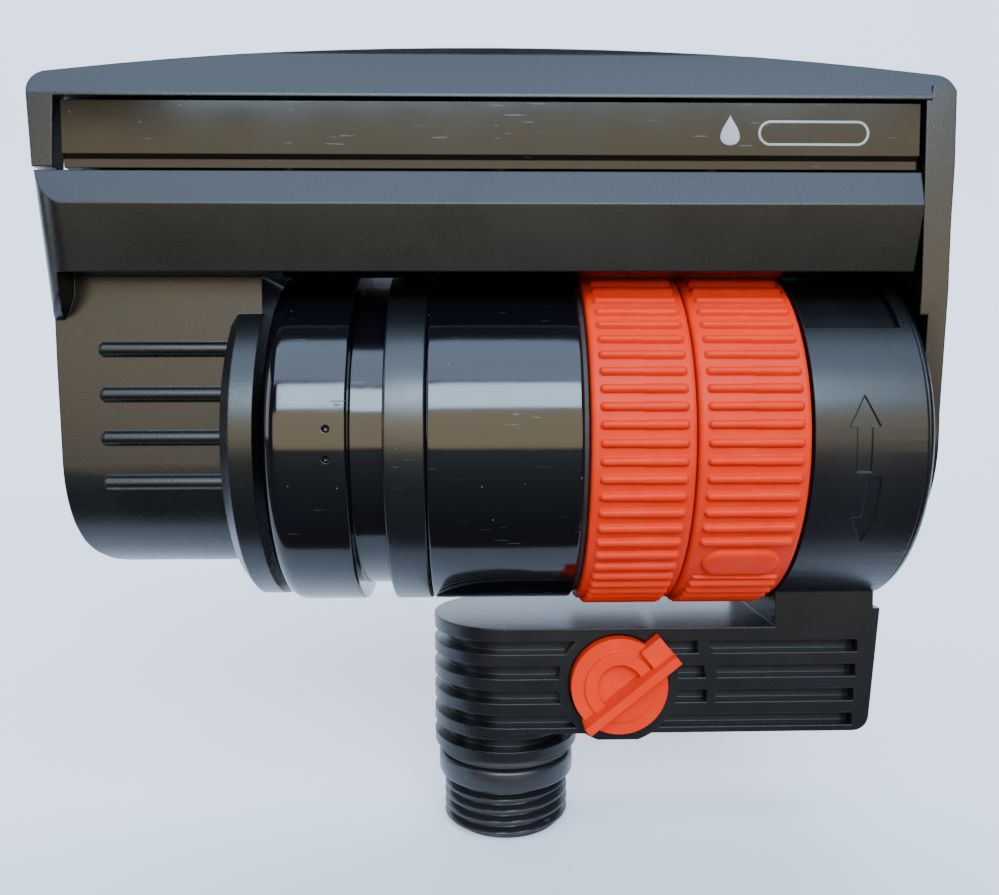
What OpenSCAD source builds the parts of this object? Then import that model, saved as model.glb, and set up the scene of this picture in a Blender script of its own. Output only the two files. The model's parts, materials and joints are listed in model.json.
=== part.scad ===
// Compact oscillating garden sprinkler.
// +Z is up, +X runs along the drive barrel to the inlet drum, and the origin is
// on the axis of the inlet thread at the middle of its first crest.

/* [Inlet thread] */
// Major radius of the parallel inlet thread
thread_r = 10.478; // [10.4:0.002:10.5]
// Minor radius of the parallel inlet thread
thread_root_r = 9.316; // [9.2:0.002:9.4]
// Pitch of the inlet thread
thread_pitch = 1.814; // [1.8:0.002:1.82]
// Bore of the inlet
inlet_bore_r = 7; // [6.8:0.1:7.1]

/* [Barrel] */
// Height of the barrel axis above the origin
axis_z = 64.1; // [64:0.1:64.4]
// Outside radius of the drive barrel and its end cap
barrel_r = 27; // [26.9:0.1:27.1]
// Outside radius of the neck between end cap and collar
neck_r = 24.4; // [24.3:0.1:24.4]
// Outside radius of the inlet drum
drum_r = 27.3; // [27.2:0.1:27.4]
// Outside radius of the tube that the limit rings turn on
core_r = 23.6; // [23.5:0.1:23.6]
// Bore of that tube
core_bore_r = 21.6; // [21.5:0.1:21.7]

/* [Limit rings] */
// Outside radius of a limit ring between its ribs
ring_r = 27.3; // [27.2:0.1:27.4]
// Height of the grip ribs
ring_rib_h = 0.8; // [0.5:0.1:0.8]
// Number of grip ribs round a ring
ring_ribs = 68; // [60:1:72]
// Angle of each ring's inner tab from the top at rest
tab_angle = 56; // [56:1:60]

/* [Manifold] */
// Half the depth of the manifold box, and the radius of its rounded end
manifold_half = 12.1; // [12:0.1:12.2]
// Top of the manifold box
manifold_top = 34.05; // [34:0.05:34.1]
// Bottom of the manifold box
manifold_bottom = 17.15; // [17.1:0.05:17.2]
// Vertical pitch of the side slots
slot_pitch = 3.95; // [3.9:0.05:4]
// Height of a side slot
slot_h = 2; // [1.8:0.1:2.1]
// Depth of a side slot
slot_d = 2.2; // [2:0.1:2.4]

/* [Flow valve] */
// Distance of the valve from the inlet axis
valve_x = 17.5; // [17.3:0.1:17.7]
// Height of the valve and of the cross bore
valve_z = 25.15; // [25.1:0.05:25.2]
// Radius of the flow knob's disc
knob_r = 7.6; // [7.5:0.1:7.7]

/* [Water bar] */
// Left end of the water bar
bar_left = -65.7; // [-65.8:0.1:-65.6]
// Right end of the water bar
bar_right = 58.2; // [58.1:0.1:58.3]
// Half the depth of the water bar
bar_half = 24.5; // [24.3:0.1:24.6]
// Underside of the water bar
bar_bottom = 88.1; // [88:0.1:88.2]
// Top of the water bar
bar_top = 101.9; // [101.8:0.1:102]

/* [Nozzles] */
// Number of spray nozzles
nozzles = 16; // [12:1:18]
// Distance between nozzles along the bar
nozzle_gap = 6.6; // [5.5:0.1:6.6]
// Lean of the end nozzles away from the middle, in degrees
nozzle_fan = 16; // [10:1:18]

/* [Drive] */
// Gear module
gear_m = 0.5; // [0.5]
// Teeth on every pinion
pinion_t = 14; // [14]
// Teeth on every wheel
wheel_t = 34; // [34]

/* [Hidden] */
$fn = 96;
eps = 0.01;

// running clearance and clearance between bodies
run = 0.05;
gap = 0.3;

// stations along the barrel axis
flange_x = [-40.6, -35.6];
cap_x = [-34.6, -21.7];
collar_x = [-17.7, -11.75];
barrel_x = [-11.7, 10.2];
washer_x = [10.25, 11.05];
ring_left_x = [11.2, 25.8];
ring_right_x = [26.1, 41.8];
drum_x = [42.1, 57.9];
drum_cap_x = 59.4;
core_x = 1;
drum_floor_x = 46;
drum_bore_r = 24.6;

// trip finger and the window that it swings in
finger_x = [24.2, 27.8];
finger_w = 3.2;
finger_r = 25.3;
window_x = [23.9, 28.1];
window_half_angle = 52;
pocket_r = 25.7;

// gear train: axis A is the barrel axis, axis B lies below it
gear_a = gear_m * (pinion_t + wheel_t) / 2;
gear_z = [axis_z, axis_z - gear_a];
gear_bl = 0.07;
gear_pa = 25;
pin_r = 0.75;
turbine_x = [36, 41];
turbine_r = 12;
jet_plate_x = [42.5, 44.5];
plate_left_x = [14, 15.5];
plate_right_x = [33.5, 35];
output_x = [18, 20.5];
shaft_x = [-42, 18];
shaft_r = 6;
shaft_bore_r = 4.4;

// reversing flap
flap_z = axis_z + 14.5;
flap_reach = 8.6;
flap_half_swing = 12;
flap_shaft_r = 1;

// swinging arm
arm_half = 17.2;
arm_floor = 43.5;
arm_wall = 2;
arm_right_x = -36;
cover_inset = 3.5;
cover_x = [-63.6, -60.5];
chamber_right_x = -42.6;
relief_r = 28.7;
bar_relief_r = 29;
bar_bevel_z = 97.1;
bar_bevel_half = 22.9;
bar_draft = 11.9;
bar_screw_x = [-32, -1, 30];
screw_y = 16;
channel_half = 10.5;
channel_x = [-57, 53];
channel_floor = 95;

// nozzle body and hood
gasket_t = 0.7;
body_x = [-62, 58.3];
body_z = [bar_top + gasket_t, 111.7];
body_half = 22;
hood_x = [-66.3, 63];
hood_z = [112, 119.75];
hood_half = 22.8;
hood_lean = 1.8;
hood_arc_r = 480;
hood_corner_r = 2.6;
hood_wall = 1.9;
hood_mid_x = -1.4;
hood_screw_x = [-59.5, 56.5];
hood_screw_y = 13;
hood_arm_half = 21.4;
inner_x = 58.75;
hub_x = drum_cap_x + 0.5;

matte = "#2d2e31";
gloss = "#17181a";
orange = "#e24e28";
steel = "#b4b8bc";
rubber = "#1a1a1a";
acetal = "#e6e2d6";

// --- shapes along the barrel axis ------------------------------------------

// solid cylinder between two stations on an axis that runs along X
module rod_x(x, r, z = axis_z, y = 0) {
    translate([x[0], y, z]) rotate([0, 90, 0]) cylinder(r = r, h = x[1] - x[0]);
}

// tube between two stations on the barrel axis
module tube_x(x, ro, ri, z = axis_z) {
    difference() {
        rod_x(x, ro, z);
        rod_x([x[0] - 1, x[1] + 1], ri, z);
    }
}

// solid of revolution about the barrel axis from points [radius, x]
module turned_x(points) {
    translate([0, 0, axis_z]) rotate([0, 90, 0]) rotate_extrude() polygon(points);
}

// flat outline in the XZ plane carried from y0 to y1
module slab_y(y, points) {
    translate([0, y[1], 0]) rotate([90, 0, 0]) linear_extrude(y[1] - y[0]) polygon(points);
}

// box from its low corner to its high corner
module box(low, high) {
    translate(low) cube(high - low);
}

// points of an arc about c
function arc(c, r, a0, a1, n) =
    [for (i = [0:n]) let (a = a0 + (a1 - a0) * i / n) [c[0] + r * cos(a), c[1] + r * sin(a)]];

// ring of round section lying about the barrel axis
module o_ring_x(x, r, t) {
    translate([x, 0, axis_z]) rotate([0, 90, 0]) rotate_extrude() translate([r, 0]) circle(r = t, $fn = 24);
}

// --- gears ------------------------------------------------------------------

function involute(a) = tan(a) * 180 / PI - a;

// half angle of a tooth at radius r
function tooth_half(t, r) =
    let (rp = gear_m * t / 2, rb = rp * cos(gear_pa))
    90 / t - gear_bl / (2 * rp) * 180 / PI + involute(gear_pa) - involute(acos(min(1, rb / max(r, rb))));

function gear_points(t) =
    let (
        rp = gear_m * t / 2,
        rb = rp * cos(gear_pa),
        root = rp - 1.1 * gear_m,
        tip = rp + 0.8 * gear_m,
        base = max(rb, root),
        radii = [root, base, (base + rp) / 2, rp, (rp + tip) / 2, tip]
    )
    [for (k = [0:t - 1]) each concat(
        [for (r = radii) let (a = k * 360 / t - tooth_half(t, r)) r * [cos(a), sin(a)]],
        [for (i = [len(radii) - 1:-1:0]) let (a = k * 360 / t + tooth_half(t, radii[i])) radii[i] * [cos(a), sin(a)]]
    )];

// spur gear between two stations; axis 0 is A with a tooth down, axis 1 is B with a gap up
module gear_x(t, x, axis, bore) {
    translate([x[0], 0, gear_z[axis]]) rotate([0, 90, 0]) rotate(axis * 180 / t) difference() {
        linear_extrude(x[1] - x[0]) polygon(gear_points(t));
        translate([0, 0, -1]) cylinder(r = bore, h = x[1] - x[0] + 2, $fn = 32);
    }
}

// wheel on the right with its pinion on the left
module compound_gear(wheel_x, pinion_x, axis) {
    difference() {
        union() {
            gear_x(wheel_t, wheel_x, axis, pin_r);
            gear_x(pinion_t, [pinion_x[0], wheel_x[0] + eps], axis, pin_r);
            gear_x(pinion_t, [wheel_x[1] - eps, pinion_x[1]], axis, pin_r);
        }
        rod_x([pinion_x[0] - 1, pinion_x[1] + 1], pin_r + run, gear_z[axis], $fn = 32);
    }
}

// --- fixed body -------------------------------------------------------------

elbow_bottom = 12.45;
elbow_slots = 5;
boss_r = 9.6;
boss_bottom = 16.1;

// side view of the manifold and its pedestal
function manifold_side() = concat(
    [[0, manifold_bottom]],
    arc([55.1, manifold_bottom + 2.5], 2.5, -90, 0, 6),
    [[59, 36.95], [57.9, 36.95], [57.9, 46], [42.3, 46], [42.3, manifold_top], [0, manifold_top]]
);

// slots on one side of the manifold
module manifold_slots(side) {
    for (i = [0:3]) {
        z = manifold_top - 2.1 - i * slot_pitch;
        translate([-0.5, side < 0 ? -manifold_half - 1 : manifold_half - slot_d, z - slot_h])
            cube([56 - 0.2 * i, slot_d + 1, slot_h]);
    }
}

// raised arrow round the valve boss
module flow_mark() {
    rotate([90, 0, 0]) linear_extrude(manifold_half) difference() {
        translate([valve_x, valve_z]) circle(r = 15.7);
        translate([valve_x - 1.3, valve_z - 1.5]) circle(r = 15.4);
        translate([-20, -20]) square([100, 41.4]);
        translate([-20, valve_z + 7.6]) square([100, 60]);
        translate([-70, 0]) square([100, 100]);
    }
}

// shallow recess over the top of the drum
module drum_recess() {
    intersection() {
        tube_x([42.5, 56.2], drum_r + 2, drum_r - 1);
        box([40, -40, 80.3], [60, 40, 100]);
    }
}

// flat outline engraved in the front of the drum
module drum_mark(points) {
    difference() {
        slab_y([-drum_r - 1, -10], points);
        rod_x([40, 60], drum_r - 0.25);
    }
}

module housing() {
    color(matte) difference() {
        union() {
            difference() {
                union() {
                    slab_y([-manifold_half, manifold_half], manifold_side());
                    translate([0, 0, elbow_bottom]) cylinder(r = manifold_half, h = manifold_top - elbow_bottom);
                }
                difference() {
                    union() {
                        manifold_slots(-1);
                        manifold_slots(1);
                    }
                    translate([valve_x, 0, valve_z]) rotate([90, 0, 0]) cylinder(r = boss_r, h = 20);
                    flow_mark();
                }
                for (i = [0:elbow_slots - 1])
                    translate([0, 0, manifold_top - 2.1 - slot_h - i * slot_pitch]) difference() {
                        translate([-20, -20, 0]) cube([20, 40, slot_h]);
                        translate([0, 0, -1]) cylinder(r = manifold_half - slot_d, h = slot_h + 2);
                    }
                difference() {
                    box([-eps, -20, manifold_top - 2.1 - slot_h - 4 * slot_pitch], [20, 20, manifold_top - 2.1 - 4 * slot_pitch]);
                    cylinder(r = manifold_half - slot_d, h = 40);
                }
            }
            intersection() {
                translate([valve_x, -3, valve_z]) rotate([90, 0, 0]) cylinder(r = boss_r, h = manifold_half - 3);
                box([0, -20, boss_bottom], [40, 0, manifold_top]);
            }
            tube_x([core_x, drum_x[0] + 1], core_r, core_bore_r);
            rod_x(drum_x, drum_r);
        }
        drum_recess();
        drum_mark([[49.2, 70.6], [46.9, 66.2], [48, 66.2], [48, 59.9], [50.1, 59.9], [50.1, 66.2], [51.3, 66.2]]);
        drum_mark([[50.5, 49.5], [52.6, 53.3], [51.7, 53.3], [51.7, 59.2], [49.7, 59.2], [49.7, 53.3], [48.3, 53.3]]);
        // water chamber, seat of the jet plate and bore of the core tube
        rod_x([drum_floor_x, drum_x[1] + 1], drum_bore_r);
        rod_x([core_x - 1, drum_floor_x + 1], core_bore_r - 2.1);
        rod_x([core_x - 1, jet_plate_x[1]], core_bore_r);
        // window of the trip finger
        intersection() {
            rod_x(window_x, core_r + 1);
            translate([0, 0, axis_z]) rotate([90, 0, 90]) linear_extrude(60) polygon([
                [0, 0], [60 * tan(window_half_angle), 60], [-60 * tan(window_half_angle), 60]]);
        }
        // socket of the spigot, cross bore and riser
        translate([0, 0, elbow_bottom - 1]) cylinder(r = 8, h = 8);
        translate([0, 0, elbow_bottom]) cylinder(r = 6.2, h = valve_z - elbow_bottom);
        rod_x([0, 50], 4.5, valve_z, $fn = 48);
        translate([50, 0, valve_z]) cylinder(r = 4.5, h = 30, $fn = 48);
        translate([0, 0, valve_z]) sphere(r = 6.2, $fn = 48);
        // valve bore and the recess of the knob
        translate([valve_x, 8.2, valve_z]) rotate([90, 0, 0]) cylinder(r = 5.45, h = 30);
        translate([valve_x, -11, valve_z]) rotate([90, 0, 0]) cylinder(r = knob_r + 0.35, h = 10);
    }
}

crest = 0.2;
flank = (thread_pitch - 4 * crest) / 2;
thread_turns = 4;

module inlet_spigot() {
    thread = [for (i = [0:thread_turns - 1]) let (z = i * thread_pitch) each [
        [thread_root_r, z - crest - flank], [thread_r, z - crest],
        [thread_r, z + crest], [thread_root_r, z + crest + flank]]];
    color(gloss) rotate_extrude() polygon(concat(
        [[inlet_bore_r, -1.4], [thread_root_r - 0.2, -1.4]],
        thread,
        [
            [thread_root_r, 7], [11, 7.05], [11.4, 7.45], [11.4, 10.2], [11, 10.6],
            [9.7, 10.65], [9.7, elbow_bottom], [7.95, elbow_bottom], [7.95, elbow_bottom + 6.9],
            [6.2, elbow_bottom + 6.9], [6.2, 8.1], [inlet_bore_r, 8.1]
        ]
    ));
}

module inlet_filter() {
    color(acetal) difference() {
        union() {
            translate([0, 0, 6.6]) cylinder(r = inlet_bore_r - run, h = 1.5);
            translate([0, 0, 8]) cylinder(r = 5.6, h = 8);
        }
        translate([0, 0, 6]) cylinder(r = 4.8, h = 9.2);
        for (a = [0:60:120]) rotate(a) box([-7, -0.8, 9.6], [7, 0.8, 14]);
    }
}

module spigot_o_ring() {
    color(rubber) translate([0, 0, elbow_bottom - 0.9]) rotate_extrude() translate([10.5, 0]) circle(r = 0.75, $fn = 24);
}

module drum_end_cap() {
    color(matte) turned_x([
        [3, 50], [6, 50], [6, 56.6], [23, 56.6], [23, 54.5], [drum_bore_r - run, 54.5],
        [drum_bore_r - run, drum_x[1] + 0.02], [27.1, drum_x[1] + 0.02], [27.1, 58.7], [26.3, drum_cap_x],
        [3, drum_cap_x]
    ]);
}

module drum_o_ring() {
    color(rubber) o_ring_x(53.6, drum_bore_r - 0.85, 0.8);
}

module drive_barrel() {
    color(gloss) turned_x([
        [neck_r + run, barrel_x[0]], [barrel_r - 0.3, barrel_x[0]], [barrel_r, barrel_x[0] + 0.3],
        [barrel_r, barrel_x[1] - 0.3], [barrel_r - 0.3, barrel_x[1]],
        [core_r + 0.02, barrel_x[1]], [core_r + 0.02, 0.6], [neck_r + run, 0.6]
    ]);
}

module barrel_collar() {
    color(gloss) turned_x([
        [neck_r + 0.02, collar_x[0]], [barrel_r - 0.3, collar_x[0]], [barrel_r, collar_x[0] + 0.3],
        [barrel_r, collar_x[1]], [neck_r + 0.02, collar_x[1]]
    ]);
}

module end_cap() {
    round_r = 2.5;
    color(gloss) difference() {
        turned_x(concat(
            [[8.02, cap_x[0]]],
            [for (p = arc([barrel_r - round_r, cap_x[0] + round_r], round_r, -90, 0, 6)) p],
            [
                [barrel_r, cap_x[1] - 0.4], [barrel_r - 0.4, cap_x[1]], [neck_r, cap_x[1]], [neck_r, 0.4],
                [neck_r - 2, 0.4], [neck_r - 2, -32], [10.4, -32], [10.4, -29.8], [8.02, -29.8]
            ]
        ));
        for (z = [-2.1, 2.1])
            translate([-24.5, -barrel_r - 1, axis_z + z]) rotate([-90, 0, 0]) cylinder(r = 0.4, h = 2, $fn = 16);
    }
}

module cap_o_ring() {
    color(rubber) o_ring_x(0.75, 22.9, 0.24);
}

module ring_washer() {
    color("#101012") tube_x(washer_x, 26, core_r + run);
}

module shaft_bush() {
    color(acetal) turned_x([
        [shaft_r + run, -35.3], [9, -35.3], [9, -34.62], [8, -34.62], [8, -32], [shaft_r + run, -32]
    ]);
}

module shaft_seal() {
    color(rubber) turned_x([
        [shaft_r + 0.02, -31.9], [8, -31.9], [8, -29.8], [7.2, -29.8], [7.2, -31], [shaft_r + 0.02, -31]
    ]);
}

// plate that carries the gear pins, with ports round it
module gear_plate(x, centre_r) {
    difference() {
        rod_x(x, core_bore_r - 0.02);
        rod_x([x[0] - 1, x[1] + 1], centre_r);
        rod_x([x[0] - 1, x[1] + 1], pin_r + 0.01, gear_z[1], $fn = 32);
        for (k = [0:5])
            translate([0, 16.5 * sin(30 + 60 * k), axis_z + 16.5 * cos(30 + 60 * k)]) rotate([0, 90, 0])
                translate([0, 0, x[0] - 1]) cylinder(r = 2.4, h = x[1] - x[0] + 2, $fn = 32);
    }
}

module gear_plate_left() {
    color(acetal) gear_plate(plate_left_x, shaft_r + run);
}

module gear_plate_right() {
    color(acetal) difference() {
        gear_plate(plate_right_x, 2.1);
        rod_x([plate_right_x[0] - 1, plate_right_x[1] + 1], flap_shaft_r + run, flap_z, $fn = 32);
    }
}

module gear_pins() {
    color(steel) {
        rod_x([17.5, jet_plate_x[1] - 0.6], pin_r, gear_z[0], $fn = 32);
        rod_x([plate_left_x[0] - 0.4, plate_right_x[1] + 0.4], pin_r, gear_z[1], $fn = 32);
    }
}

module jet_plate() {
    color(acetal) difference() {
        union() {
            rod_x(jet_plate_x, core_bore_r - 0.02);
            rod_x([jet_plate_x[1] - eps, 48.6], 1, axis_z - 8.65, $fn = 32);
        }
        rod_x([jet_plate_x[0] - 1, jet_plate_x[1] - 0.6], pin_r + 0.01, $fn = 32);
        rod_x([jet_plate_x[0] - 1, jet_plate_x[1] + 1], flap_shaft_r + run, flap_z, $fn = 32);
        for (s = [-1, 1])
            translate([jet_plate_x[1], s * flap_reach * sin(flap_half_swing), flap_z - flap_reach * cos(flap_half_swing)])
                rotate([s * 90, 0, 0]) rotate([0, -90, 0]) rotate([0, 25, 0])
                    cylinder(r = 1.3, h = 8, center = true, $fn = 32);
    }
}

// bow spring that throws the flap over its centre
module over_centre_spring() {
    color(steel) difference() {
        tube_x([46.9, 48.1], 2.6, 2.2, axis_z - 5);
        box([46, -5, axis_z - 5], [49, 5, axis_z]);
    }
}

module pivot_pin() {
    color(steel) {
        rod_x([50.5, 61.6], 3 - 0.01);
        rod_x([61.6 - eps, 62.1], 3.85);
    }
}

// --- limit rings ------------------------------------------------------------

function ribbed(r, h, n) = [for (k = [0:n - 1]) let (a = k * 360 / n, w = 0.6) each [
    [r, -w / 2], [r + h, -w / 3], [r + h, w / 3], [r, w / 2]] * [[cos(a), sin(a)], [-sin(a), cos(a)]]];

module limit_ring(x, pocket_x, tab) {
    color(orange) difference() {
        union() {
            rod_x(x, ring_r);
            translate([x[0] + 1.1, 0, axis_z]) rotate([0, 90, 0])
                linear_extrude(x[1] - x[0] - 2.2) polygon(ribbed(ring_r - 0.05, ring_rib_h + 0.05, ring_ribs));
        }
        rod_x([x[0] - 1, x[1] + 1], core_r + 0.1);
        difference() {
            rod_x(pocket_x, pocket_r);
            translate([0, 0, axis_z]) rotate([tab, 0, 0])
                box([x[0] - 2, -1.6, core_r - 1], [x[1] + 2, 1.6, pocket_r + 1]);
        }
    }
}

module limit_ring_left() {
    limit_ring(ring_left_x, [window_x[0], ring_left_x[1] + 1], tab_angle);
}

module limit_ring_right() {
    limit_ring(ring_right_x, [ring_right_x[0] - 1, window_x[1]], -tab_angle);
}

// --- flow valve -------------------------------------------------------------

knob_lift = -11.3;
knob_face = -13.6;
knob_angle = 38.8;

module flow_knob() {
    color(orange) translate([valve_x, 0, valve_z]) difference() {
        union() {
            translate([0, knob_lift, 0]) rotate([90, 0, 0]) cylinder(r = knob_r, h = knob_lift - knob_face);
            translate([0, knob_face + eps, 0]) rotate([90, 0, 0]) cylinder(r = 5.5, h = 0.6);
            rotate([0, -knob_angle, 0]) {
                box([-8, -17, -2], [9.9, -12.4, -0.6]);
                box([6, -15, -0.7], [9.8, -12.4, 2.6]);
            }
        }
        translate([0, -10, 0]) rotate([90, 0, 0]) cylinder(r = 3.02, h = 2.4, $fn = 48);
        rotate([0, -knob_angle, 0]) difference() {
            translate([0, -12.6, 0]) rotate([90, 0, 0]) cylinder(r = 3.6, h = 4, $fn = 48);
            box([-8, -20, -8], [8, -10, -0.6]);
        }
    }
}

module valve_plug() {
    color(acetal) translate([valve_x, 0, valve_z]) difference() {
        union() {
            translate([0, 8, 0]) rotate([90, 0, 0]) cylinder(r = 5.4, h = 17);
            translate([0, -9 + eps, 0]) rotate([90, 0, 0]) cylinder(r = 3, h = 3.4, $fn = 48);
        }
        rod_x([-10, 10], 4, 0, $fn = 48);
        translate([0, -7.6, 0]) rotate([90, 0, 0]) difference() {
            cylinder(r = 6, h = 1);
            translate([0, 0, -1]) cylinder(r = 4.8, h = 3);
        }
    }
}

module valve_o_ring() {
    color(rubber) translate([valve_x, -8.1, valve_z]) rotate([90, 0, 0])
        rotate_extrude() translate([5.11, 0]) circle(r = 0.3, $fn = 24);
}

// --- drive train ------------------------------------------------------------

turbine_blades = 12;

module turbine_wheel() {
    color(acetal) difference() {
        union() {
            rod_x(turbine_x, 3.2, $fn = 48);
            tube_x([38, 39], turbine_r, turbine_r - 1);
            for (k = [0:turbine_blades - 1])
                translate([0, 0, axis_z]) rotate([k * 360 / turbine_blades, 0, 0])
                    box([turbine_x[0] + 0.5, -0.5, 2.9], [turbine_x[1] - 0.5, 0.5, turbine_r - 0.5]);
        }
        rod_x([turbine_x[0] - 1, turbine_x[1] + 1], 2.01, $fn = 48);
    }
}

module turbine_pinion() {
    color(acetal) difference() {
        union() {
            gear_x(pinion_t, [29, 33], 0, pin_r);
            rod_x([33 - eps, 41.4], 2, $fn = 48);
        }
        rod_x([28, 43], pin_r + run, $fn = 32);
    }
}

module first_gear() {
    color(acetal) compound_gear([30, 32.2], [25.5, 32.6], 1);
}

module second_gear() {
    color(acetal) compound_gear([26, 28.2], [21.5, 28.6], 0);
}

module third_gear() {
    color(acetal) compound_gear([22, 24.2], [17.5, 24.6], 1);
}

// the flap lies over the front jet at rest
module reverse_flap() {
    color(acetal) translate([0, 0, flap_z]) rotate([flap_half_swing, 0, 0]) difference() {
        union() {
            rod_x([45, 46.6], 2.2, 0, $fn = 48);
            box([45, -1.2, -flap_reach], [46.4, 1.2, 0]);
            rod_x([45, 46.4], 1.7, -flap_reach, $fn = 48);
        }
        rod_x([44, 48], flap_shaft_r + 0.01, 0, $fn = 32);
    }
}

module flap_shaft() {
    color(steel) {
        rod_x([21.5, 47], flap_shaft_r, flap_z, $fn = 32);
        translate([0, 0, flap_z]) box([21.5, -0.6, 0], [23.3, 0.6, 3.2]);
    }
}

// --- swinging body ----------------------------------------------------------

module output_gear() {
    color(acetal) difference() {
        union() {
            gear_x(wheel_t, output_x, 0, pin_r);
            rod_x([15, output_x[0] + eps], shaft_bore_r - 0.02, $fn = 48);
        }
        rod_x([output_x[0] - 1, output_x[1] + 1], pin_r + run, $fn = 32);
    }
}

module output_shaft() {
    color(steel) difference() {
        tube_x(shaft_x, shaft_r, shaft_bore_r);
        for (x = [-26:8:6], a = [0, 90])
            translate([x, 0, axis_z]) rotate([a, 0, 0]) cylinder(r = 2, h = 20, center = true, $fn = 32);
    }
}

// finger on the output shaft that meets the tabs of the limit rings and throws the flap
module trip_finger() {
    arm = [16.2, 17.9];
    color(acetal) difference() {
        translate([0, 0, axis_z]) union() {
            rod_x(arm, 7.6, 0);
            box([arm[0], -finger_w / 2, 7], [arm[1], finger_w / 2, 20.7]);
            box([arm[0], -finger_w / 2, 18.4], [finger_x[1], finger_w / 2, 20.7]);
            box([finger_x[0], -finger_w / 2, 18.4], [finger_x[1], finger_w / 2, finger_r - 0.1]);
        }
        rod_x([arm[0] - 1, arm[1] + 1], shaft_r + 0.01);
    }
}

// D-shaped section of an arm: half round below, straight walls above
module arm_section(x, half, low, top) {
    rod_x(x, half, low + half);
    box([x[0], -half, low + half], [x[1], half, top]);
}

// side view of the left end of the arm
arm_side = [
    [-66.1, 90], [-66.1, 84], [-66, 75], [-65.7, 62], [-65.4, 52], [-65.1, 48.5], [-64.5, 46.4], [-63.3, 44.7],
    [-61.6, 43.8], [-59, 43.4], [-35, 43.4], [-35, 90]
];

// side view of the bar
bar_side = [
    [-65.7, bar_top + 1], [-65.7, bar_top], [-66, bar_bottom], [57.6, bar_bottom], [58.2, bar_top],
    [58.2, bar_top + 1]
];

module bar_section() {
    low_half = bar_half - (bar_bevel_z - bar_bottom) * tan(bar_draft);
    translate([bar_left - 1, 0, 0]) rotate([90, 0, 90]) linear_extrude(bar_right - bar_left + 2) polygon([
        [-low_half, bar_bottom], [-bar_half, bar_bevel_z], [-bar_bevel_half, bar_top],
        [bar_bevel_half, bar_top], [bar_half, bar_bevel_z], [low_half, bar_bottom]
    ]);
}

// everything behind one long face of the bar, with that face's rounded left corner and its draft
module drafted_side(s) {
    translate([0, s * bar_half, bar_bevel_z]) rotate([-s * bar_draft, 0, 0]) translate([0, 0, -30])
        linear_extrude(60) polygon(concat(
            [[bar_right + 5, 0], [bar_right + 5, -s * 60], [bar_left - 0.4, -s * 60]],
            arc([bar_left + 4.6, -s * 5], 5, 180, s < 0 ? 270 : 90, 8)
        ));
}

// corner of the bar that runs down the end of the arm on both sides
module corner_post() {
    intersection() {
        slab_y([-30, 30], [
            [-66.1, 89], [-66.1, 81.8], [-64.6, 81.8], [-63.8, 83.5], [-63.2, 85.5], [-63.1, 89]
        ]);
        rotate([90, 0, 90]) translate([0, 0, -70]) linear_extrude(20) polygon([
            [-22.6, 89.5], [-22.5, 87.5], [-21.2, 85], [-19.3, 83], [-17, 81.8],
            [17, 81.8], [19.3, 83], [21.2, 85], [22.5, 87.5], [22.6, 89.5]
        ]);
        drafted_side(-1);
        drafted_side(1);
    }
}

// grip ribs with tapered ends on the front and back of the arm
module arm_ribs() {
    for (z = [13.5, 6.9, 0.5, -6.1], s = [-1, 1]) {
        rod_x([-59.2, flange_x[0] + 1], 1.1, axis_z + z, s * (arm_half - 0.3), $fn = 32);
        translate([-59.8, s * (arm_half - 0.3), axis_z + z]) rotate([0, 90, 0])
            cylinder(r1 = 0.6, r2 = 1.1, h = 0.61, $fn = 32);
    }
}

module swing_arm() {
    color(matte) difference() {
        union() {
            // flange with a flat top
            difference() {
                turned_x([
                    [5, flange_x[0]], [24, flange_x[0]], [26, flange_x[0] + 1.7], [26, flange_x[1]], [5, flange_x[1]]
                ]);
                box([-50, -40, axis_z + 18.55], [-20, 40, axis_z + 40]);
            }
            intersection() {
                arm_section([-67, arm_right_x], arm_half, arm_floor, bar_bottom + 1);
                slab_y([-30, 30], arm_side);
            }
            intersection() {
                bar_section();
                slab_y([-30, 30], bar_side);
                drafted_side(-1);
                drafted_side(1);
            }
            corner_post();
            arm_ribs();
        }
        // water way: shaft bore, seal seat, arm chamber, channel in the bar
        rod_x([-45, -30], shaft_r + 0.02);
        rod_x([chamber_right_x - 1, -41.45], 6.68);
        arm_section([cover_x[1], chamber_right_x], arm_half - arm_wall, arm_floor + arm_wall, channel_floor + 1);
        arm_section([-67, cover_x[1]], arm_half - cover_inset, arm_floor + cover_inset, bar_bottom - 6.5);
        box([channel_x[0], -channel_half, channel_floor], [channel_x[1], channel_half, bar_top + 1]);
        // clearance over the barrel and rings
        rod_x([-35.5, 70], bar_relief_r);
        for (x = bar_screw_x, s = [-1, 1])
            translate([x, s * screw_y, channel_floor]) cylinder(r = 1.52, h = 10, $fn = 24);
        // lightening pockets between the screws
        for (x = [-27, 4], s = [-1, 1])
            translate([x, s * screw_y - 2.5, 97]) cube([21, 5, 10]);
    }
}

module arm_cover() {
    color(matte) arm_section([cover_x[0], cover_x[1] - 0.02], arm_half - cover_inset - 0.02,
        arm_floor + cover_inset + 0.02, bar_bottom - 6.52);
}

module hub_o_ring() {
    color(rubber) o_ring_x(-41.8, shaft_r + 0.36, 0.3);
}

module bar_gasket() {
    color(rubber) difference() {
        box([-60.5, -13.5, bar_top], [56, 13.5, body_z[0]]);
        box([channel_x[0], -channel_half, bar_top - 1], [channel_x[1], channel_half, bar_top + 2]);
    }
}

function nozzle_x(i) = hood_mid_x + (i - (nozzles - 1) / 2) * nozzle_gap;
function nozzle_lean(i) = nozzle_fan * (i - (nozzles - 1) / 2) / ((nozzles - 1) / 2);
nozzle_seat = 109.7;

module at_nozzle(i) {
    translate([nozzle_x(i), 0, nozzle_seat]) rotate([0, nozzle_lean(i), 0]) children();
}

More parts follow.
